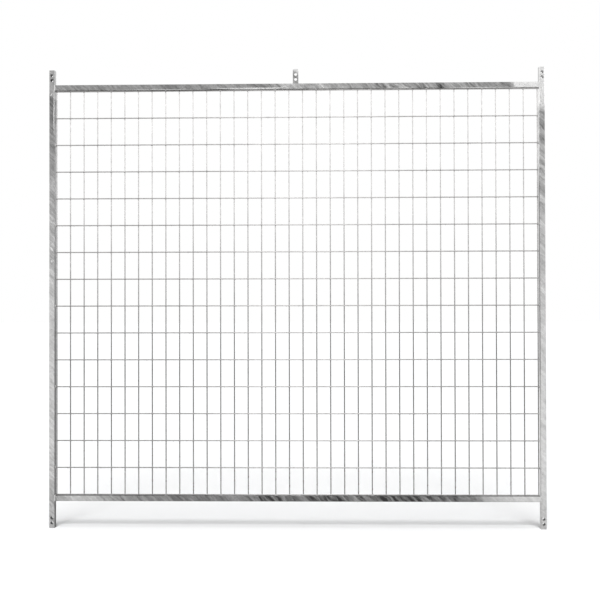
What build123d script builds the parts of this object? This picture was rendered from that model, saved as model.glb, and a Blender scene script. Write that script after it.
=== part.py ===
from build123d import *
import os

# A welded-mesh barrier panel: two square-tube posts, two square-tube rails
# between them, and a welded wire mesh filling the opening.
#
# Millimetres. The origin is on the floor, midway between the posts and midway
# through the thickness. X runs along the panel, Y from front to back, Z up.

# Frame
panel_width = 1800.0  # outside of one post to outside of the other
panel_height = 1668.0  # length of a post
leg_height = 98.0  # floor to underside of the bottom rail
stub_height = 54.0  # top of the top rail to the top of a post
tube_size = 20.0
tube_wall = 1.5
tube_corner = 2.0  # outside corner radius of the tube
least_inner_corner = 0.2

# Bolt holes, M10 clearance, in both ends of the posts and in the lug
hole_diameter = 11.0
hole_to_end = 19.0  # end of the post to the first hole's centre
hole_spacing = 18.0

# Flat lug on the middle of the top rail
lug_width = 20.0
lug_thickness = 5.0
lug_corner = 5.0

# Welded mesh
wire_diameter = 4.0
set_down = 0.4  # how far two crossing wires sink into each other
nominal_cell_width = 50.0
nominal_cell_height = 98.0
side_gap = 3.0  # post to the outermost upright wire
rail_gap = 1.0  # rail to the outermost cross wire

# Welds
seam_leg = 2.5  # fillet leg along the tube joints
lug_seam_leg = 2.0  # fillet leg around the foot of the lug
seam_proud = 0.4  # how far a seam stands out of the panel's two faces
seam_toe = 0.2  # thickness left at the thin edge of a seam
rail_tack_bite = 3.4  # how far a tack on a rail reaches past the gap
rail_tack_length = 16.0
post_tack_bite = 2.0  # how far a tack on a post reaches past the gap
post_tack_length = 12.0
columns_per_tack = 4
rows_per_tack = 3

# Derived sizes of the frame
tube_half = tube_size / 2
inner_corner = max(tube_corner - tube_wall, least_inner_corner)
post_x = panel_width / 2 - tube_half
opening_width = panel_width - 2 * tube_size
opening_height = panel_height - leg_height - stub_height - 2 * tube_size
opening_bottom = leg_height + tube_size
opening_top = opening_bottom + opening_height
bottom_rail_z = leg_height + tube_half
top_rail_z = opening_top + tube_half
top_rail_face = opening_top + tube_size
hole_radius = hole_diameter / 2
top_hole_heights = [panel_height - hole_to_end - n * hole_spacing for n in range(2)]
foot_hole_heights = [hole_to_end + n * hole_spacing for n in range(2)]

# Derived sizes of the mesh: the whole number of cells nearest to the nominal
# cell, stretched to fill the opening less its gaps
mesh_width = opening_width - 2 * side_gap
mesh_height = opening_height - 2 * rail_gap
mesh_bottom = opening_bottom + rail_gap
columns = round((mesh_width - wire_diameter) / nominal_cell_width)
rows = round((mesh_height - wire_diameter) / nominal_cell_height)
cell_width = (mesh_width - wire_diameter) / columns
cell_height = (mesh_height - wire_diameter) / rows
wire_radius = wire_diameter / 2
layer_y = (wire_diameter - set_down) / 2  # each layer's distance from mid-thickness
upright_xs = [(n - columns / 2) * cell_width for n in range(columns + 1)]
cross_zs = [mesh_bottom + wire_radius + n * cell_height for n in range(rows + 1)]

# Tacks: every fourth upright wire on the rails, counted in from both posts, and
# every third cross wire on the posts, counted up from the second one
half_tacks = list(range(columns_per_tack, columns // 2 + 1, columns_per_tack))
rail_tack_xs = [upright_xs[n] for n in half_tacks]
rail_tack_xs += [upright_xs[columns - n] for n in half_tacks]
post_tack_zs = [cross_zs[n] for n in range(1, rows, rows_per_tack)]


def save(builder, label):
    """Name a finished piece and write its file."""
    builder.part.label = label
    export_step(builder.part, f"parts/{label}.step")


def tube_section():
    """Square tube section, drawn at the current sketch location."""
    inside = tube_size - 2 * tube_wall
    RectangleRounded(tube_size, tube_size, tube_corner)
    RectangleRounded(inside, inside, inner_corner, mode=Mode.SUBTRACT)


def make_post(label, x):
    """Upright tube, open at both ends, with two bolt holes near each end."""
    with BuildPart() as post:
        with BuildSketch(Plane.XY):
            with Locations((x, 0)):
                tube_section()
        extrude(amount=panel_height)
        with BuildSketch(Plane.XZ):
            with Locations(*[(x, z) for z in foot_hole_heights + top_hole_heights]):
                Circle(hole_radius)
        extrude(amount=tube_half, both=True, mode=Mode.SUBTRACT)
    save(post, label)


def make_rail(label, z):
    """Level tube, cut square to butt between the two posts."""
    with BuildPart() as rail:
        with BuildSketch(Plane.YZ.offset(-opening_width / 2)):
            with Locations((0, z)):
                tube_section()
        extrude(amount=opening_width)
    save(rail, label)


def make_top_lug():
    """Flat strip standing on the top rail, level with the tops of the posts."""
    with BuildPart() as top_lug:
        with BuildSketch(Plane.XZ) as outline:
            with Locations((0, top_rail_face + stub_height / 2)):
                Rectangle(lug_width, stub_height)
            fillet(outline.vertices().group_by(Axis.Y)[-1], radius=lug_corner)
            with Locations(*[(0, z) for z in top_hole_heights]):
                Circle(hole_radius, mode=Mode.SUBTRACT)
        extrude(amount=lug_thickness / 2, both=True)
    save(top_lug, "top_lug")


def make_upright_wire(label, x):
    """One upright wire of the mesh, in the rear layer."""
    with BuildPart() as wire:
        with BuildSketch(Plane.XY.offset(mesh_bottom)):
            with Locations((x, layer_y)):
                Circle(wire_radius)
        extrude(amount=mesh_height)
    save(wire, label)


def make_cross_wire(label, z):
    """One level wire of the mesh, in the front layer, seated on every upright."""
    with BuildPart() as wire:
        with BuildSketch(Plane.YZ.offset(-mesh_width / 2)):
            with Locations((-layer_y, z)):
                Circle(wire_radius)
        extrude(amount=mesh_width)
        with BuildSketch(Plane.XY.offset(z - wire_diameter)):
            with Locations(*[(x, layer_y) for x in upright_xs]):
                Circle(wire_radius)
        extrude(amount=2 * wire_diameter, mode=Mode.SUBTRACT)
    save(wire, label)


def rail_end_seam(side, z):
    """Seam around one rail end: fills the groove at the post and tapers off."""
    width = tube_size + 2 * seam_proud
    height = tube_size + 2 * seam_leg
    toe = tube_size + 2 * seam_toe
    face = Plane(origin=(side * opening_width / 2, 0, z), x_dir=(0, 1, 0), z_dir=(-side, 0, 0))
    with BuildPart() as seam:
        with BuildSketch(face.offset(-tube_corner)):
            RectangleRounded(width, height, tube_corner)
        extrude(amount=tube_corner)
        with BuildSketch(face):
            RectangleRounded(width, height, tube_corner)
        with BuildSketch(face.offset(seam_leg)):
            RectangleRounded(toe, toe, tube_corner)
        loft()
        with BuildSketch(Plane.XY.offset(z - height)):
            with Locations((side * post_x, 0)):
                RectangleRounded(tube_size, tube_size, tube_corner)
        extrude(amount=2 * height, mode=Mode.SUBTRACT)
        with BuildSketch(face):
            RectangleRounded(tube_size, tube_size, tube_corner)
        extrude(amount=height, mode=Mode.SUBTRACT)
    return seam.part


def make_frame_welds():
    """Four seams, each around one rail end."""
    seams = [rail_end_seam(side, z) for side in (-1, 1) for z in (bottom_rail_z, top_rail_z)]
    with BuildPart() as frame_welds:
        add(seams)
    save(frame_welds, "frame_welds")


def make_lug_weld():
    """Fillet seam around the foot of the lug."""
    with BuildPart() as lug_weld:
        with BuildSketch(Plane.XY.offset(top_rail_face)):
            Rectangle(lug_width + 2 * lug_seam_leg, lug_thickness + 2 * lug_seam_leg)
        with BuildSketch(Plane.XY.offset(top_rail_face + lug_seam_leg)):
            Rectangle(lug_width + 2 * seam_toe, lug_thickness + 2 * seam_toe)
        loft()
        with BuildSketch(Plane.XY.offset(top_rail_face)):
            Rectangle(lug_width, lug_thickness)
        extrude(amount=lug_seam_leg, mode=Mode.SUBTRACT)
    save(lug_weld, "lug_weld")


def half_bead(length, radius):
    """Rounded bead lying along X, cut flat on the plane Z = 0 and bulging up."""
    with BuildPart() as bead:
        with BuildSketch(Plane.XY):
            SlotOverall(length, 2 * radius)
            with Locations((0, -radius)):
                Rectangle(length, 2 * radius, mode=Mode.SUBTRACT)
        revolve(axis=Axis.X, revolution_arc=180)
    return bead.part


def make_tack_welds():
    """Short beads that join the mesh to the rails and to the posts."""
    rail_bead = half_bead(rail_tack_length, rail_gap + rail_tack_bite)
    post_bead = half_bead(post_tack_length, side_gap + post_tack_bite)
    half_width = opening_width / 2
    with BuildPart() as tack_welds:
        for x in rail_tack_xs:
            with Locations(Location((x, 0, opening_bottom))):
                add(rail_bead)
            with Locations(Location((x, 0, opening_top), (180, 0, 0))):
                add(rail_bead)
        for z in post_tack_zs:
            with Locations(Location((-half_width, 0, z), (0, 90, 0))):
                add(post_bead)
            with Locations(Location((half_width, 0, z), (0, -90, 0))):
                add(post_bead)
        with BuildSketch(Plane.XY.offset(mesh_bottom)):
            with Locations(*[(x, layer_y) for x in upright_xs]):
                Circle(wire_radius)
        extrude(amount=mesh_height, mode=Mode.SUBTRACT)
        with BuildSketch(Plane.YZ.offset(-mesh_width / 2)):
            with Locations(*[(-layer_y, z) for z in cross_zs]):
                Circle(wire_radius)
        extrude(amount=mesh_width, mode=Mode.SUBTRACT)
    save(tack_welds, "tack_welds")


os.makedirs("parts", exist_ok=True)

make_post("left_post", -post_x)
make_post("right_post", post_x)
make_rail("bottom_rail", bottom_rail_z)
make_rail("top_rail", top_rail_z)
make_top_lug()
for number, x in enumerate(upright_xs, start=1):
    make_upright_wire(f"upright_wire_{number:02d}", x)
for number, z in enumerate(cross_zs, start=1):
    make_cross_wire(f"cross_wire_{number:02d}", z)
make_frame_welds()
make_lug_weld()
make_tack_welds()
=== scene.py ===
import math
import random

import bpy
from mathutils import Matrix, Vector, noise


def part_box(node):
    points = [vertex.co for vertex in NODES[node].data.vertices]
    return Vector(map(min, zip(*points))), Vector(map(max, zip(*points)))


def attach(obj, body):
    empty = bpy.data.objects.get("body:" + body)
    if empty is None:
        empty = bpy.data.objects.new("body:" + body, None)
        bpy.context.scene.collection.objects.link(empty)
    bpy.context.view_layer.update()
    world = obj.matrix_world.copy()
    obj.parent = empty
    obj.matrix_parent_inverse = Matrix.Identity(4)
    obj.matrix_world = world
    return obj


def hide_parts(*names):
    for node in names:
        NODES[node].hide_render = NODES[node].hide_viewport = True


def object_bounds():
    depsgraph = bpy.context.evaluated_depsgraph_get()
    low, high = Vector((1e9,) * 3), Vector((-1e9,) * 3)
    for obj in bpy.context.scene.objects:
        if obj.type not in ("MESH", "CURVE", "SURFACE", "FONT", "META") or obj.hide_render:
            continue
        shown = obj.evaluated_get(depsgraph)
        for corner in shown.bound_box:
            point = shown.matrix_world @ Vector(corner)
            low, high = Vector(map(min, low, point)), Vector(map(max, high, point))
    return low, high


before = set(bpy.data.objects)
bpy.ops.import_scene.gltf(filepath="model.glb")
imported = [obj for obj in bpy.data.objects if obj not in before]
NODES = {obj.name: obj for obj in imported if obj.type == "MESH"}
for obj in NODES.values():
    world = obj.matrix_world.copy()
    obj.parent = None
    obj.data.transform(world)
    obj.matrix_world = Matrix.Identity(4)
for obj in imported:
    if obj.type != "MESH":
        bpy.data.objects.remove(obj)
cad_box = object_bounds()

UPRIGHTS = sorted(name for name in NODES if name.startswith("upright_wire_"))
CROSSES = sorted(name for name in NODES if name.startswith("cross_wire_"))
MM = 0.001


def node_middle(name):
    """Middle of a CAD node's box."""
    low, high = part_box(name)
    return (low + high) / 2


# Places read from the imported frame, in metres
rail_low, rail_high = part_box("top_rail")
tube_size = rail_high.z - rail_low.z
tube_half = tube_size / 2
half_opening = rail_high.x
post_x = node_middle("right_post").x
top_rail_z = node_middle("top_rail").z
bottom_rail_z = node_middle("bottom_rail").z
upright_xs = [node_middle(name).x for name in UPRIGHTS]
cross_zs = [node_middle(name).z for name in CROSSES]
upright_y = node_middle(UPRIGHTS[0]).y
cross_y = node_middle(CROSSES[0]).y
wire_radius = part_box(UPRIGHTS[0])[1].x - upright_xs[0]
face_room = -cad_box[0].y - tube_half  # how far a weld may stand out of the front


# ---------------------------------------------------------------- shader nodes


def grey(level):
    """A grey as red, green, blue and alpha."""
    return (level, level, level, 1)


class Nodes:
    """A node tree, with short calls for the nodes used here."""

    def __init__(self, tree):
        self.tree = tree

    def node(self, kind, **settings):
        made = self.tree.nodes.new(kind)
        for key, value in settings.items():
            setattr(made, key, value)
        return made

    def feed(self, socket, value):
        """Link another socket to this one, or set it to a plain value."""
        if isinstance(value, bpy.types.NodeSocket):
            self.tree.links.new(value, socket)
        else:
            socket.default_value = value

    def feed_all(self, sockets, values):
        for socket, value in zip(sockets, values):
            self.feed(socket, value)

    def math(self, operation, *values):
        made = self.node("ShaderNodeMath", operation=operation)
        self.feed_all(made.inputs, values)
        return made.outputs[0]

    def times(self, a, b):
        return self.math("MULTIPLY", a, b)

    def total(self, *parts):
        """Sum of several values."""
        result = parts[0]
        for part in parts[1:]:
            result = self.math("ADD", result, part)
        return result

    def axes(self, vector):
        made = self.node("ShaderNodeSeparateXYZ")
        self.feed(made.inputs[0], vector)
        return made.outputs["X"], made.outputs["Y"], made.outputs["Z"]

    def span(self, value, low, high, to_low=0.0, to_high=1.0, shape="LINEAR"):
        """Value mapped from low..high to to_low..to_high, and held at the ends."""
        made = self.node("ShaderNodeMapRange", interpolation_type=shape)
        self.feed(made.inputs["Value"], value)
        made.inputs["From Min"].default_value = low
        made.inputs["From Max"].default_value = high
        made.inputs["To Min"].default_value = to_low
        made.inputs["To Max"].default_value = to_high
        return made.outputs["Result"]

    def ramp(self, value, stops):
        """Grey for a value from 0 to 1. Stops are (value, grey), held past the ends."""
        made = self.node("ShaderNodeValToRGB")
        self.feed(made.inputs["Fac"], value)
        elements = made.color_ramp.elements
        while len(elements) < len(stops):
            elements.new(0.5)
        for element, (place, tone) in zip(elements, stops):
            element.position = place
            element.color = grey(tone)
        return made.outputs["Color"]

    def mix(self, factor, first, second, blend="MIX"):
        made = self.node("ShaderNodeMix", data_type="RGBA", blend_type=blend)
        sockets = made.inputs["Factor"], made.inputs[6], made.inputs[7]
        self.feed_all(sockets, (factor, first, second))
        return made.outputs[2]


# ---------------------------------------------------------------- materials


class Graph(Nodes):
    """A material's node tree."""

    def __init__(self, name):
        self.material = bpy.data.materials.new(name)
        self.material.use_nodes = True
        super().__init__(self.material.node_tree)
        self.shader = self.tree.nodes["Principled BSDF"]
        coordinates = self.node("ShaderNodeTexCoord")
        self.place = coordinates.outputs["Object"]
        self.facing = coordinates.outputs["Normal"]

    def vector(self, x, y, z):
        made = self.node("ShaderNodeCombineXYZ")
        self.feed_all(made.inputs, (x, y, z))
        return made.outputs[0]

    def noise(self, place, scale, detail, roughness, low=0.0, high=1.0):
        """Noise texture, with its usual spread mapped to low..high."""
        usual_low, usual_high = 0.32, 0.68
        made = self.node("ShaderNodeTexNoise")
        self.feed(made.inputs["Vector"], place)
        made.inputs["Scale"].default_value = scale
        made.inputs["Detail"].default_value = detail
        made.inputs["Roughness"].default_value = roughness
        return self.span(made.outputs["Fac"], usual_low, usual_high, low, high)

    def cells(self, place, scale, output="Color"):
        """Voronoi cells: a colour for each, or the distance from its middle."""
        made = self.node("ShaderNodeTexVoronoi")
        self.feed(made.inputs["Vector"], place)
        made.inputs["Scale"].default_value = scale
        return made.outputs[output]

    def grey_of(self, colour):
        made = self.node("ShaderNodeRGBToBW")
        self.feed(made.inputs[0], colour)
        return made.outputs[0]

    def curve(self, value, low, high, stops):
        """Tone along a length: stops are (share of the length, tone)."""
        return self.grey_of(self.ramp(self.span(value, low, high), stops))

    def finish(self, value, tint, roughness, height, depth):
        """Wire up the metal: a grey value times its tint. height is about 0 to 1, and
        depth is its size in metres."""
        colour = self.mix(1.0, value, (*tint, 1), blend="MULTIPLY")
        self.feed(self.shader.inputs["Base Color"], colour)
        self.feed(self.shader.inputs["Roughness"], roughness)
        self.shader.inputs["Metallic"].default_value = 1.0
        bump = self.node("ShaderNodeBump")
        bump.inputs["Distance"].default_value = depth
        bump.inputs["Strength"].default_value = 1.0
        self.feed(bump.inputs["Height"], height)
        self.feed(self.shader.inputs["Normal"], bump.outputs["Normal"])
        return self.material


TUBE_TINT = (1.0, 0.998, 0.994)
WIRE_TINT = (1.0, 0.982, 0.975)
DARKEST, BRIGHTEST = 0.05, 0.97


def tube_zinc(node, along, tones, streak_stops, faces, lean=1.0):
    """Hot-dip zinc on a tube: tone changes along it, slanting streaks, spangle,
    mottling and dark pits. Each of faces is (axis, direction, stops), and its stops
    multiply the tone of the side that faces there, as painted light and shade on
    that side. lean is the slope of the edges between tones across the front."""
    g = Graph("zinc_" + node)
    low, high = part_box(node)
    middle = node_middle(node)
    x, y, z = g.axes(g.place)
    wander = g.noise(g.place, 38.0, 3.0, 0.6, -10 * MM, 10 * MM)
    if along == "X":
        start, end = low.x, high.x
        length = g.total(x, g.times(g.math("SUBTRACT", z, middle.z), lean), wander)
    else:
        start, end = low.z, high.z
        length = g.total(z, g.times(g.math("SUBTRACT", x, middle.x), lean), wander)

    # Streaks slope at 45 degrees: slant runs across them and drift along them
    diagonal = 0.7
    slant = g.times(g.total(x, z, y, g.times(wander, 0.35)), diagonal)
    drift = g.times(g.math("SUBTRACT", x, z), diagonal)
    streak_place = g.vector(slant, g.times(y, 0.3), g.times(drift, 0.12))
    broad = g.noise(streak_place, 60.0, 3.0, 0.62, -1.0, 1.0)
    fine = g.noise(streak_place, 190.0, 3.0, 0.65, -1.0, 1.0)
    ridge = g.math("ABSOLUTE", g.noise(streak_place, 85.0, 2.0, 0.5, -1.0, 1.0))
    lines = g.span(ridge, 0.0, 0.16, 1.0, 0.0)
    streaks = g.total(g.times(broad, 0.6), g.times(fine, 0.45), g.times(lines, 0.6), -0.06)

    # Marks all over, each as a share of the tone: clouds, spangle, mottling and dark pits
    tone = g.curve(length, start, end, tones)
    strength = g.curve(length, start, end, streak_stops)
    cloud = g.noise(g.place, 8.0, 3.0, 0.5, -0.06, 0.06)
    cell = g.grey_of(g.cells(g.vector(g.total(x, g.times(wander, 0.5)), y, z), 125.0))
    spangle = g.span(cell, 0.15, 0.85, -0.07, 0.07)
    mottle = g.noise(g.place, 430.0, 3.0, 0.7, -0.06, 0.06)
    pits = g.span(g.cells(g.place, 46.0, "Distance"), 0.045, 0.085, -0.35, 0.0)
    shade = g.total(tone, g.times(streaks, strength))
    shade = g.total(shade, g.times(g.total(cloud, spangle, mottle, pits), tone))

    # Painted light and shade on each side: a side counts from where it starts to turn that way to
    # where it nearly faces it
    turn_start, turn_end = 0.5, 0.95
    facing = dict(zip("XYZ", g.axes(g.facing)))
    for axis, direction, stops in faces:
        turned = g.span(g.times(facing[axis], direction), turn_start, turn_end)
        painted_side_shading = g.math("SUBTRACT", g.curve(length, start, end, stops), 1.0)
        shade = g.times(shade, g.total(1.0, g.times(turned, painted_side_shading)))
    shade = g.math("MINIMUM", g.math("MAXIMUM", shade, DARKEST), BRIGHTEST)

    # Pale zinc is smoother than dark zinc
    rough = g.span(tone, 0.3, 0.9, 0.46, 0.30)
    rough = g.total(rough, g.times(mottle, 0.7), g.times(spangle, 0.5))
    lumps = g.noise(g.place, 120.0, 3.0, 0.6)
    height = g.total(g.times(lumps, 0.6), g.times(cell, 0.10))
    height = g.total(height, g.times(broad, 0.06), g.times(mottle, 0.8))
    return g.finish(shade, TUBE_TINT, rough, height, 0.3 * MM)


def wire_zinc(name, painted_light_height_stops, side_stops):
    """Zinc on drawn wire: smoother, with dull and bright stretches. Its tone
    changes up the panel as painted light and shade, and side_stops multiply it across the panel."""
    g = Graph(name)
    x, y, z = g.axes(g.place)
    painted_light_up_tone = g.curve(z, cross_zs[0], cross_zs[-1], painted_light_height_stops)
    tone = g.times(painted_light_up_tone, g.curve(x, -half_opening, half_opening, side_stops))
    cloud = g.noise(g.place, 9.0, 2.0, 0.5, -0.10, 0.10)
    patch = g.noise(g.place, 75.0, 3.0, 0.6, -0.13, 0.13)
    mottle = g.noise(g.place, 600.0, 2.0, 0.5, -0.08, 0.08)
    specks = g.span(g.cells(g.place, 60.0, "Distance"), 0.05, 0.12, -0.3, 0.0)
    shade = g.times(g.total(1.0, cloud, patch, mottle, specks), tone)
    rough = g.noise(g.place, 55.0, 2.0, 0.5, 0.24, 0.36)
    height = g.noise(g.place, 330.0, 3.0, 0.6)
    return g.finish(shade, WIRE_TINT, rough, height, 0.15 * MM)


def weld_zinc(name, tone):
    """Zinc over weld metal: bright, lumpy and mottled."""
    g = Graph(name)
    cloud = g.noise(g.place, 110.0, 2.0, 0.5, -0.10, 0.08)
    mottle = g.noise(g.place, 420.0, 3.0, 0.65, -0.10, 0.10)
    shade = g.times(g.total(1.0, cloud, mottle), tone)
    rough = g.noise(g.place, 300.0, 2.0, 0.5, 0.24, 0.42)
    height = g.noise(g.place, 520.0, 3.0, 0.6)
    return g.finish(shade, TUBE_TINT, rough, height, 0.25 * MM)


def paint(name, material):
    """Give a CAD node its material."""
    mesh = NODES[name].data
    mesh.materials.clear()
    mesh.materials.append(material)


# Upward faces are darkened evenly along the length: painted shade
PAINTED_SHADE_TOP = ("Z", 1.0, [(0.0, 0.55), (1.0, 0.55)])

# Along a post or the lug, shares of the length run from the foot up; along a rail,
# from the left. The last stop holds to the end.
# Each side's stops below, on a post's inner side and on a rail's top or underside, are painted light
# and shade: they lighten or darken that side along its length.
paint("left_post", tube_zinc(
    "left_post", "Z",
    tones=[(0.0, 0.44), (0.07, 0.46), (0.12, 0.66), (0.50, 0.63), (0.60, 0.50), (0.74, 0.45),
           (0.80, 0.35), (0.86, 0.34), (0.90, 0.19), (0.93, 0.20), (0.95, 0.35)],
    streak_stops=[(0.0, 0.2), (0.25, 0.2), (0.3, 0.13), (0.5, 0.14), (0.6, 0.22), (0.8, 0.14)],
    faces=[PAINTED_SHADE_TOP, ("X", 1.0, [(0.0, 0.7), (0.45, 0.5), (0.6, 0.8), (0.9, 1.7)])]))
paint("right_post", tube_zinc(
    "right_post", "Z",
    tones=[(0.0, 0.56), (0.10, 0.70), (0.35, 0.67), (0.52, 0.62), (0.60, 0.50), (0.65, 0.58),
           (0.80, 0.42), (0.908, 0.32), (0.917, 0.84)],
    streak_stops=[(0.0, 0.08), (0.3, 0.13), (0.9, 0.2), (0.92, 0.06)],
    faces=[PAINTED_SHADE_TOP, ("X", -1.0, [(0.0, 1.2), (0.28, 1.1), (0.35, 0.6), (0.74, 0.7), (0.8, 1.8),
                                   (0.93, 2.0), (0.97, 0.7)])],
    lean=0.15))
paint("top_rail", tube_zinc(
    "top_rail", "X",
    tones=[(0.0, 0.34), (0.25, 0.30), (0.36, 0.36), (0.44, 0.26), (0.48, 0.50), (0.54, 0.49),
           (0.65, 0.30), (0.72, 0.40), (0.78, 0.27), (0.84, 0.42), (0.94, 0.30), (0.95, 0.92)],
    streak_stops=[(0.0, 0.14), (0.3, 0.12), (0.45, 0.21), (0.6, 0.2), (0.7, 0.28), (0.85, 0.28),
                  (0.94, 0.16), (0.95, 0.07)],
    faces=[PAINTED_SHADE_TOP, ("Z", -1.0, [(0.0, 1.9), (0.06, 1.9), (0.14, 0.8), (0.22, 0.45), (0.4, 0.5),
                                   (0.7, 2.0)])]))
paint("bottom_rail", tube_zinc(
    "bottom_rail", "X",
    tones=[(0.0, 0.40), (0.05, 0.66), (0.12, 0.38), (0.25, 0.25), (0.32, 0.19), (0.38, 0.36),
           (0.44, 0.12), (0.49, 0.25), (0.53, 0.11), (0.65, 0.21), (0.72, 0.12), (0.86, 0.25),
           (0.90, 0.54), (1.0, 0.72)],
    streak_stops=[(0.0, 0.2), (0.3, 0.14), (0.43, 0.2), (0.8, 0.26), (0.93, 0.07)],
    faces=[("Z", 1.0, [(0.0, 0.35), (0.2, 0.6), (0.33, 1.0), (0.5, 1.6), (0.6, 1.0), (0.9, 0.55)])]))
paint("top_lug", tube_zinc(
    "top_lug", "Z",
    tones=[(0.0, 0.40), (0.5, 0.34), (0.8, 0.50), (1.0, 0.90)],
    streak_stops=[(0.0, 0.20), (1.0, 0.14)],
    faces=[PAINTED_SHADE_TOP]))
# The tone up the panel below is painted light and shade: the wires are made lighter towards the top.
upright_material = wire_zinc(
    "zinc_upright_wire",
    painted_light_height_stops=[(0.0, 0.38), (0.12, 0.30), (0.30, 0.26), (0.42, 0.38), (0.70, 0.62), (1.0, 0.70)],
    side_stops=[(0.0, 1.0), (1.0, 1.0)])
cross_material = wire_zinc(
    "zinc_cross_wire",
    painted_light_height_stops=[(0.0, 0.46), (1.0, 0.62)],
    side_stops=[(0.0, 0.8), (0.3, 0.9), (0.42, 1.3), (0.62, 1.25), (0.75, 0.95)])
weld_material = weld_zinc("zinc_weld", 0.72)
# Runs are paler than the welds: partly zinc of their own, partly a painted highlight along the tube
# edges they follow.
run_zinc_and_highlight_material = weld_zinc("zinc_run", 0.85)
for wire_name in UPRIGHTS:
    paint(wire_name, upright_material)
for wire_name in CROSSES:
    paint(wire_name, cross_material)
for weld_name in ("frame_welds", "lug_weld", "tack_welds"):
    paint(weld_name, weld_material)


# ---------------------------------------------------------------- welds and zinc build-up

chance = random.Random(11)


class Skin:
    """Collects lofted shapes into one mesh."""

    def __init__(self):
        self.points = []
        self.faces = []

    def loft(self, rings, closed=False):
        """Join rings of equal size. Open ends are closed by a point in the middle."""
        count = len(rings[0])
        first = len(self.points)
        for ring in rings:
            self.points.extend(ring)
        spans = len(rings) if closed else len(rings) - 1
        for step in range(spans):
            here = first + step * count
            there = first + (step + 1) % len(rings) * count
            for n in range(count):
                after = (n + 1) % count
                self.faces.append((here + n, here + after, there + after, there + n))
        if not closed:
            self.cap(first, rings[0], flip=True)
            self.cap(first + (len(rings) - 1) * count, rings[-1], flip=False)

    def cap(self, start, ring, flip):
        """Close a ring, whose points begin at start, with a fan of triangles."""
        count = len(ring)
        middle = len(self.points)
        self.points.append(sum(ring, Vector()) / count)
        for n in range(count):
            after = (n + 1) % count
            pair = (start + after, start + n) if flip else (start + n, start + after)
            self.faces.append((*pair, middle))

    def piece(self, name, material, replaced=None):
        """Make the mesh an object that rides with the panel."""
        mesh = bpy.data.meshes.new(name)
        mesh.from_pydata(self.points, [], self.faces)
        mesh.validate()
        mesh.polygons.foreach_set("use_smooth", [True] * len(mesh.polygons))
        mesh.materials.append(material)
        made = bpy.data.objects.new(name, mesh)
        bpy.context.scene.collection.objects.link(made)
        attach(made, "root")
        if replaced:
            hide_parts(replaced)
        return made


OFF_THE_GRID = Vector((17.3, 4.1, 9.7))  # the noise is always 0 at whole numbers


def rough_at(place, size):
    """Smooth noise from -1 to 1 that changes over the given size."""
    return noise.noise(place / size + OFF_THE_GRID)


def bead(skin, path, along, outwards, half_width, heights,
         ripple=0.0, sides=12, wobble=0.14, closed=False):
    """Weld bead: an ellipse carried along a path, half of it sunk in the metal.
    The scalloped edge of each pass repeats every ripple along the path, and
    wobble is how far its width wanders."""
    body, crown, unevenness = 0.74, 0.18, 0.08  # shares of the full height
    rings = []
    travelled = 0.0
    for n, place in enumerate(path):
        travelled += (place - path[n - 1]).length if n else 0.0
        scallop = abs(math.sin(math.pi * travelled / ripple)) if ripple else 1.0
        swell = body + crown * scallop + unevenness * rough_at(place, 3 * MM)
        wide = half_width * (1 + wobble * rough_at(place, 4 * MM))
        taper = 1.0 if closed else math.sin(math.pi * (n + 0.6) / (len(path) + 0.2)) ** 0.5
        ring = []
        for k in range(sides):
            angle = 2 * math.pi * k / sides
            sideways = along[n] * (wide * taper * math.cos(angle))
            out = outwards[n] * (heights[n] * swell * taper * math.sin(angle))
            ring.append(place + sideways + out)
        rings.append(ring)
    skin.loft(rings, closed)


def rounded_loop(half_a, half_b, radius, spacing):
    """Points and outward normals around a rounded rectangle, as (a, b) pairs."""
    points, normals = [], []
    for quarter in range(4):
        turn = quarter * math.pi / 2
        side = (half_a, half_b) if quarter % 2 == 0 else (half_b, half_a)
        corner = (side[0] - radius, side[1] - radius)
        straight = 2 * (side[1] - radius)
        steps = max(2, round(straight / spacing))
        local = [(side[0], -corner[1] + straight * n / steps, 0.0) for n in range(steps)]
        bends = max(3, round(radius * math.pi / 2 / spacing))
        for n in range(bends):
            angle = math.pi / 2 * n / bends
            a = corner[0] + radius * math.cos(angle)
            b = corner[1] + radius * math.sin(angle)
            local.append((a, b, angle))
        cos_turn, sin_turn = math.cos(turn), math.sin(turn)
        for a, b, angle in local:
            points.append((a * cos_turn - b * sin_turn, a * sin_turn + b * cos_turn))
            normals.append((math.cos(angle + turn), math.sin(angle + turn)))
    return points, normals


def add_frame_welds():
    """A bead around each of the four rail ends."""
    face_height, fillet_height, half_width = 0.92 * face_room, 2.1 * MM, 2.3 * MM
    corner_radius, spacing = 1.5 * MM, 0.45 * MM
    level = 0.8  # how far a normal turns to up or down before the bead grows into the fillet
    loop, normals = rounded_loop(tube_half, tube_half, corner_radius, spacing)
    skin = Skin()
    for side in (-1, 1):
        for z in (bottom_rail_z, top_rail_z):
            path = [Vector((side * half_opening, b, z + a)) for a, b in loop]
            outwards = [Vector((0, b, a)) for a, b in normals]
            along = [Vector((side, 0, 0))] * len(path)
            growth = [max(0.0, abs(out.z) - level) / (1 - level) for out in outwards]
            heights = [face_height + (fillet_height - face_height) * share for share in growth]
            bead(skin, path, along, outwards, half_width, heights, ripple=2.4 * MM, closed=True)
    skin.piece("frame_weld_beads", weld_material, "frame_welds")


def add_lug_weld():
    """A bead around the foot of the lug."""
    leg, corner_radius, spacing = 1.8 * MM, 0.8 * MM, 0.4 * MM
    low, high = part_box("top_lug")
    half_x, half_y = (high.x - low.x) / 2, (high.y - low.y) / 2
    loop, normals = rounded_loop(half_x, half_y, corner_radius, spacing)
    path = [Vector((a, b, rail_high.z)) for a, b in loop]
    along = [Vector((a, b, 0)) for a, b in normals]
    outwards = [Vector((0, 0, 1))] * len(path)
    skin = Skin()
    bead(skin, path, along, outwards, leg, [leg] * len(path), ripple=2.0 * MM, closed=True)
    skin.piece("lug_weld_bead", weld_material, "lug_weld")


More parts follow.
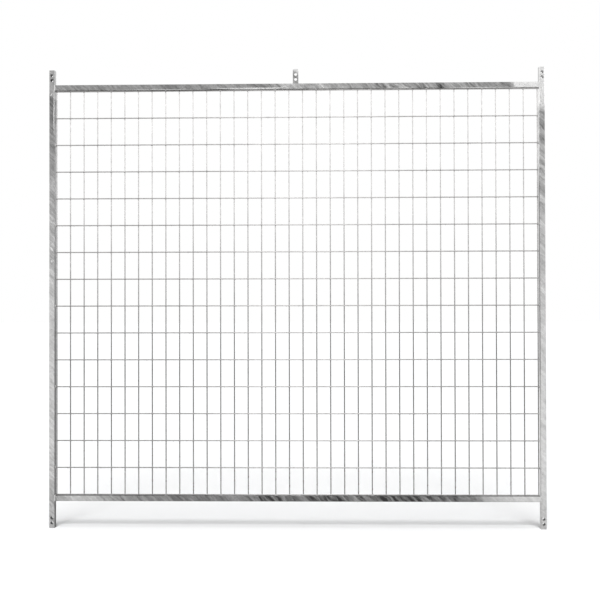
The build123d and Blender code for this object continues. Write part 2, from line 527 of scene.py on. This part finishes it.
def add_tack_welds():
    """Short lumpy beads: every fourth upright wire on the rails, counted in from
    both posts, and every third cross wire on the posts."""
    columns_per_tack, rows_per_tack = 4, 3
    rail_tack_half, rail_tack_height = 8.0 * MM, 4.3 * MM
    post_tack_half, post_tack_height = 5.6 * MM, 4.8 * MM
    rightward, upward = Vector((1, 0, 0)), Vector((0, 0, 1))
    opening_low, opening_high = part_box("bottom_rail")[1].z, rail_low.z
    columns = len(upright_xs) - 1
    counted_in = range(columns_per_tack, columns // 2 + 1, columns_per_tack)
    rail_xs = [upright_xs[n] for n in counted_in] + [upright_xs[columns - n] for n in counted_in]
    post_zs = [cross_zs[n] for n in range(1, len(cross_zs) - 1, rows_per_tack)]
    skin = Skin()
    for x in rail_xs:
        for z, inward in ((opening_low, upward), (opening_high, -upward)):
            place = Vector((x, 0.4 * upright_y, z))
            tack(skin, place, rightward, inward, rail_tack_half, rail_tack_height)
    for z in post_zs:
        for side in (-1, 1):
            place = Vector((side * half_opening, 0, z))
            tack(skin, place, upward, -side * rightward, post_tack_half, post_tack_height)
    skin.piece("tack_weld_beads", weld_material, "tack_welds")


def tack(skin, place, run, inward, half_length, height):
    """One tack: a short bead, a little uneven, that runs along the tube."""
    steps, half_width = 15, 3.8 * MM
    half_length *= chance.uniform(0.82, 1.0)
    height *= chance.uniform(0.80, 1.0)
    path, heights = [], []
    for n in range(steps):
        share = 2 * n / (steps - 1) - 1
        path.append(place + run * (half_length * share))
        heights.append(height * (1 + 0.12 * rough_at(place + run * (9 * MM * share), 4 * MM)))
    along = [Vector((0, 1, 0))] * steps
    bead(skin, path, along, [inward] * steps, half_width, heights, sides=14)


def add_crossing_welds():
    """The fused nugget at every wire crossing, with webs of zinc in its corners."""
    skin = Skin()
    half_depth, sides, layers = 2.3 * MM, 16, 7
    nugget, web = 2.3 * MM, 1.0 * MM  # reach from the middle, and how much more in a corner
    for x in upright_xs:
        for z in cross_zs:
            size = chance.uniform(0.85, 1.15)
            webs = [chance.uniform(0.7, 1.3) for _ in range(4)]
            webs[2] *= chance.choice((1.0, 1.0, 1.5, 2.1))  # zinc drains to the lower left
            rings = []
            for layer in range(layers):
                depth = -math.cos(math.pi * (layer + 0.5) / layers)
                girth = math.sqrt(1 - depth * depth)
                ring = []
                for n in range(sides):
                    angle = 2 * math.pi * n / sides
                    corner = abs(math.sin(2 * angle)) ** 1.5
                    quarter = int(angle / (math.pi / 2)) % 4
                    reach = (nugget + web * corner * webs[quarter]) * size * girth
                    ring.append(Vector((x + reach * math.cos(angle), half_depth * depth,
                                        z + reach * math.sin(angle))))
                rings.append(ring)
            skin.loft(rings)
    skin.piece("crossing_welds", weld_material)


def drip(skin, place, radius, drop):
    """A drop of zinc that set as it hung."""
    sides, layers, most_lean = 9, 8, 0.25
    lean_x = chance.uniform(-most_lean, most_lean)
    lean_y = chance.uniform(-most_lean, most_lean)
    lean = Vector((lean_x, lean_y, 0)) * radius
    rings = []
    for layer in range(layers):
        share = (layer + 0.5) / layers
        girth = radius * math.sin(math.pi * share ** 0.75) ** 0.8
        middle = place + Vector((0, 0, 0.6 * radius - drop * share)) + lean * share
        rings.append([middle + Vector((math.cos(a), math.sin(a), 0)) * girth
                      for a in (2 * math.pi * n / sides for n in range(sides))])
    skin.loft(rings[::-1])


def add_drips():
    """Drops along the undersides of the rails and level wires, and on the uprights."""
    skin = Skin()
    clear_of_post, clear_of_rail = 20 * MM, 10 * MM
    reach = half_opening - clear_of_post
    for z, count in ((rail_low.z, 34), (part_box("bottom_rail")[0].z, 26)):
        for _ in range(count):
            x = chance.uniform(-reach, reach)
            y = chance.choice((-1, 1)) * chance.uniform(5.0, 8.0) * MM
            size = chance.uniform(0.7, 1.5) * MM
            drip(skin, Vector((x, y, z)), size, size * chance.uniform(1.5, 2.6))
    for _ in range(150):
        x = chance.uniform(-reach, reach)
        z = chance.choice(cross_zs[1:])
        size = chance.uniform(0.8, 1.3) * MM
        drip(skin, Vector((x, cross_y, z - wire_radius)), size, size * chance.uniform(1.6, 3.0))
    for _ in range(110):
        x = chance.choice(upright_xs)
        z = chance.uniform(cross_zs[0] + clear_of_rail, cross_zs[-1] - clear_of_rail)
        side = chance.choice((-1, 1)) * wire_radius * 0.8
        size = chance.uniform(0.8, 1.2) * MM
        drip(skin, Vector((x + side, upright_y, z)), size, size * chance.uniform(2.5, 5.0))
    skin.piece("zinc_drips", weld_material)


def zinc_run(skin, corners, half_width, proud):
    """A run of thick zinc on the front: a low uneven ridge through (x, z) corners."""
    path, along = [], []
    spacing, most_stray, stray_length = 1.2 * MM, 0.9 * MM, 7 * MM
    for (x0, z0), (x1, z1) in zip(corners, corners[1:]):
        steps = max(2, round(math.hypot(x1 - x0, z1 - z0) / spacing))
        for n in range(steps):
            share = n / steps
            x = x0 + (x1 - x0) * share
            z = z0 + (z1 - z0) * share
            stray = most_stray * rough_at(Vector((x, 0, z)), stray_length)
            path.append(Vector((x + stray, -tube_half, z + stray)))
    for n in range(len(path)):
        step = path[min(n + 1, len(path) - 1)] - path[max(n - 1, 0)]
        along.append(Vector((-step.z, 0, step.x)).normalized())
    outwards = [Vector((0, -1, 0))] * len(path)
    heights = [proud] * len(path)
    bead(skin, path, along, outwards, half_width, heights, sides=10, wobble=0.55)


def edge_run(skin, start, end, hang):
    """Thick zinc along the top rail's lower front edge, where it drained last."""
    inset, lift = 1.3 * MM, 0.9 * MM  # in from the rail's front, and up from its underside
    half_width, spacing = 1.0 * MM, 3 * MM
    out = Vector((0, -0.42, -0.91))
    across = Vector((0, -0.91, 0.42))
    steps = round((end - start) / spacing)
    y, z = inset - tube_half, rail_low.z + lift
    path = [Vector((start + spacing * n, y, z)) for n in range(steps)]
    heights = [hang * (1 + 0.2 * rough_at(place, 25 * MM)) for place in path]
    bead(skin, path, [across] * steps, [out] * steps, half_width, heights, sides=10, wobble=0.25)


def add_runs():
    """Ridges and lumps of thick zinc on the front faces of the tubes. Their paler zinc is partly a
    painted highlight along the edges they follow.
    """
    skin = Skin()
    proud = 0.85 * face_room
    edge = tube_half - 2.2 * MM  # as far from a tube's centre line as a run may start
    high_edge, low_edge = top_rail_z + edge, top_rail_z - edge
    along_edge = low_edge + 1.0 * MM
    inner = -post_x + edge - 0.5 * MM
    # (corners as (x, z), half width, height)
    runs = [
        ([(-0.29, along_edge), (-0.20, along_edge + 0.5 * MM), (-0.10, along_edge),
          (-0.055, along_edge + 1 * MM), (-0.035, top_rail_z), (-0.018, high_edge)],
         1.7 * MM, proud),
        ([(0.085, high_edge), (0.105, low_edge)], 1.5 * MM, 0.4 * proud),
        ([(inner, 1.60), (inner + 0.6 * MM, 1.55), (inner, 1.49), (inner + 0.5 * MM, 1.43)],
         1.4 * MM, proud),
        ([(-post_x - 5 * MM, 1.022), (-post_x + 4 * MM, 1.006)], 2.9 * MM, proud),
        ([(-post_x - 2 * MM, 0.974), (-post_x + 2 * MM, 0.965)], 2.3 * MM, proud),
        ([(-post_x - 8 * MM, 1.574), (-post_x - 2 * MM, 1.578), (-post_x + 3 * MM, 1.586)],
         1.2 * MM, 0.5 * proud),
        ([(post_x + 4 * MM, 1.555), (post_x + 8 * MM, 1.563)], 1.3 * MM, 0.5 * proud),
    ]
    for corners, half_width, height in runs:
        zinc_run(skin, corners, half_width, height)
    # (start, end, hang)
    edge_runs = [(-0.73, -0.28, 1.8 * MM), (-0.28, -0.02, 2.1 * MM),
                 (0.29, 0.46, 1.8 * MM), (0.52, 0.85, 2.1 * MM)]
    for start, end, hang in edge_runs:
        edge_run(skin, start, end, hang)
    skin.piece("zinc_runs", run_zinc_and_highlight_material)


add_frame_welds()
add_lug_weld()
add_tack_welds()
add_crossing_welds()
add_drips()
add_runs()


# ---------------------------------------------------------------- floor and light

# What the metal reflects, as (degrees above level, brightness)
STUDIO_FRONT = [(-90, 0.70), (-22, 0.85), (-14, 1.05), (-6, 1.35), (0, 1.10), (6, 0.65),
                (14, 0.30), (30, 1.2), (60, 1.8), (90, 1.8)]
STUDIO_SIDES = [(-90, 0.35), (-20, 0.80), (-11, 0.60), (-7, 0.10), (-3, 0.12), (2, 0.72),
                (8, 1.6), (20, 1.6), (45, 0.9), (90, 0.5)]
STUDIO_BEHIND_RIGHT = [(-90, 0.36), (-14, 0.34), (-8, 0.28), (-3, 0.45), (3, 0.70),
                       (10, 0.95), (25, 1.05), (90, 0.9)]
STUDIO_BEHIND_LEFT = [(-90, 0.30), (-16, 0.40), (-12, 0.80), (-3, 0.85), (3, 0.85),
                      (10, 0.95), (25, 1.05), (90, 0.9)]
BACKDROP_LEVEL = 1.0
FILL_LEVEL = 0.05  # even light on the floor from all round
FLOOR_HALF_SIZE = 40.0
FLOOR_COLOUR = (0.86, 0.865, 0.87, 1)


def add_floor():
    """Plain white floor, left out of the metal's reflections."""
    mesh = bpy.data.meshes.new("floor")
    reach = FLOOR_HALF_SIZE
    corners = [(-reach, -reach, 0), (reach, -reach, 0), (reach, reach, 0), (-reach, reach, 0)]
    mesh.from_pydata(corners, [], [(0, 1, 2, 3)])
    floor = bpy.data.objects.new("floor", mesh)
    bpy.context.scene.collection.objects.link(floor)
    g = Graph("floor_white")
    g.shader.inputs["Base Color"].default_value = FLOOR_COLOUR
    g.shader.inputs["Roughness"].default_value = 0.9
    g.shader.inputs["Specular IOR Level"].default_value = 0.0
    mesh.materials.append(g.material)
    floor.visible_glossy = False


class Studio(Nodes):
    """The world's node tree."""

    def __init__(self):
        world = bpy.data.worlds.new("studio")
        bpy.context.scene.world = world
        world.use_nodes = True
        super().__init__(world.node_tree)
        self.tree.nodes.clear()

    def sky(self, height, stops):
        """Brightness against the sine of the height above level, from -1 to 1."""
        places = [((math.sin(math.radians(degrees)) + 1) / 2, tone) for degrees, tone in stops]
        return self.ramp(self.math("MULTIPLY_ADD", height, 0.5, 0.5), places)

    def share(self, value, low, high):
        """0 at low, 1 at high, smooth between."""
        return self.span(value, low, high, shape="SMOOTHSTEP")

    def emit(self, colour):
        made = self.node("ShaderNodeBackground")
        self.feed(made.inputs["Color"], colour)
        return made.outputs[0]

    def choose(self, factor, first, second):
        made = self.node("ShaderNodeMixShader")
        self.feed_all(made.inputs, (factor, first, second))
        return made.outputs[0]


def add_world():
    """White backdrop for the camera. The metal reflects a studio whose brightness
    changes with height, and differs in front, to the sides and behind."""
    s = Studio()
    x, y, z = s.axes(s.node("ShaderNodeTexCoord").outputs["Generated"])
    level = s.math("SQRT", s.total(s.times(x, x), s.times(y, y)))
    level = s.math("MAXIMUM", level, 0.001)  # straight up and down would divide by zero
    forward = s.math("DIVIDE", s.times(y, -1.0), level)
    rightward = s.math("DIVIDE", x, level)
    behind_left, behind_right = s.sky(z, STUDIO_BEHIND_LEFT), s.sky(z, STUDIO_BEHIND_RIGHT)
    behind = s.mix(s.share(rightward, -0.12, 0.12), behind_left, behind_right)
    around = s.mix(s.share(forward, -0.3, -0.85), s.sky(z, STUDIO_SIDES), behind)
    around = s.mix(s.share(forward, 0.86, 0.99), around, s.sky(z, STUDIO_FRONT))
    light_path = s.node("ShaderNodeLightPath")
    lit = s.choose(light_path.outputs["Is Glossy Ray"], s.emit(grey(FILL_LEVEL)), s.emit(around))
    backdrop = s.emit(grey(BACKDROP_LEVEL))
    seen = s.choose(light_path.outputs["Is Camera Ray"], lit, backdrop)
    s.feed(s.node("ShaderNodeOutputWorld").inputs["Surface"], seen)


def add_sun(name, tilt, spread, strength):
    """Soft light from above that the metal does not mirror. tilt is in degrees from
    overhead, towards the front if positive, and spread is the lamp's width in degrees."""
    data = bpy.data.lights.new(name, "SUN")
    data.angle = math.radians(spread)
    data.energy = strength
    sun = bpy.data.objects.new(name, data)
    sun.rotation_euler = (math.radians(tilt), 0, 0)
    sun.visible_glossy = False
    bpy.context.scene.collection.objects.link(sun)


add_floor()
add_world()
add_sun("soft_front", tilt=36, spread=28, strength=2.82)
add_sun("overhead_front", tilt=10, spread=16, strength=1.04)
add_sun("overhead_back", tilt=-8, spread=16, strength=0.385)


# ---------------------------------------------------------------- camera


def add_camera():
    """Eye at about mid-height of the panel, a little right of its middle, nearly level."""
    lens, sensor = 51.0, 36.0
    distance, right_of_middle = 3.089, 0.0767
    eye_height = cross_zs[0] + 0.681
    turn_left, tip_up, lean = 0.0202, 0.0082, -0.0022  # radians
    data = bpy.data.cameras.new("camera")
    data.lens = lens
    data.sensor_width = sensor
    data.clip_end = 200.0
    camera = bpy.data.objects.new("camera", data)
    aim = Matrix.Rotation(turn_left, 4, "Z") @ Matrix.Rotation(math.pi / 2 + tip_up, 4, "X")
    aim = aim @ Matrix.Rotation(lean, 4, "Z")
    camera.matrix_world = Matrix.Translation((right_of_middle, -distance, eye_height)) @ aim
    bpy.context.scene.collection.objects.link(camera)
    bpy.context.scene.camera = camera


add_camera()
bpy.context.scene.view_settings.view_transform = "Standard"
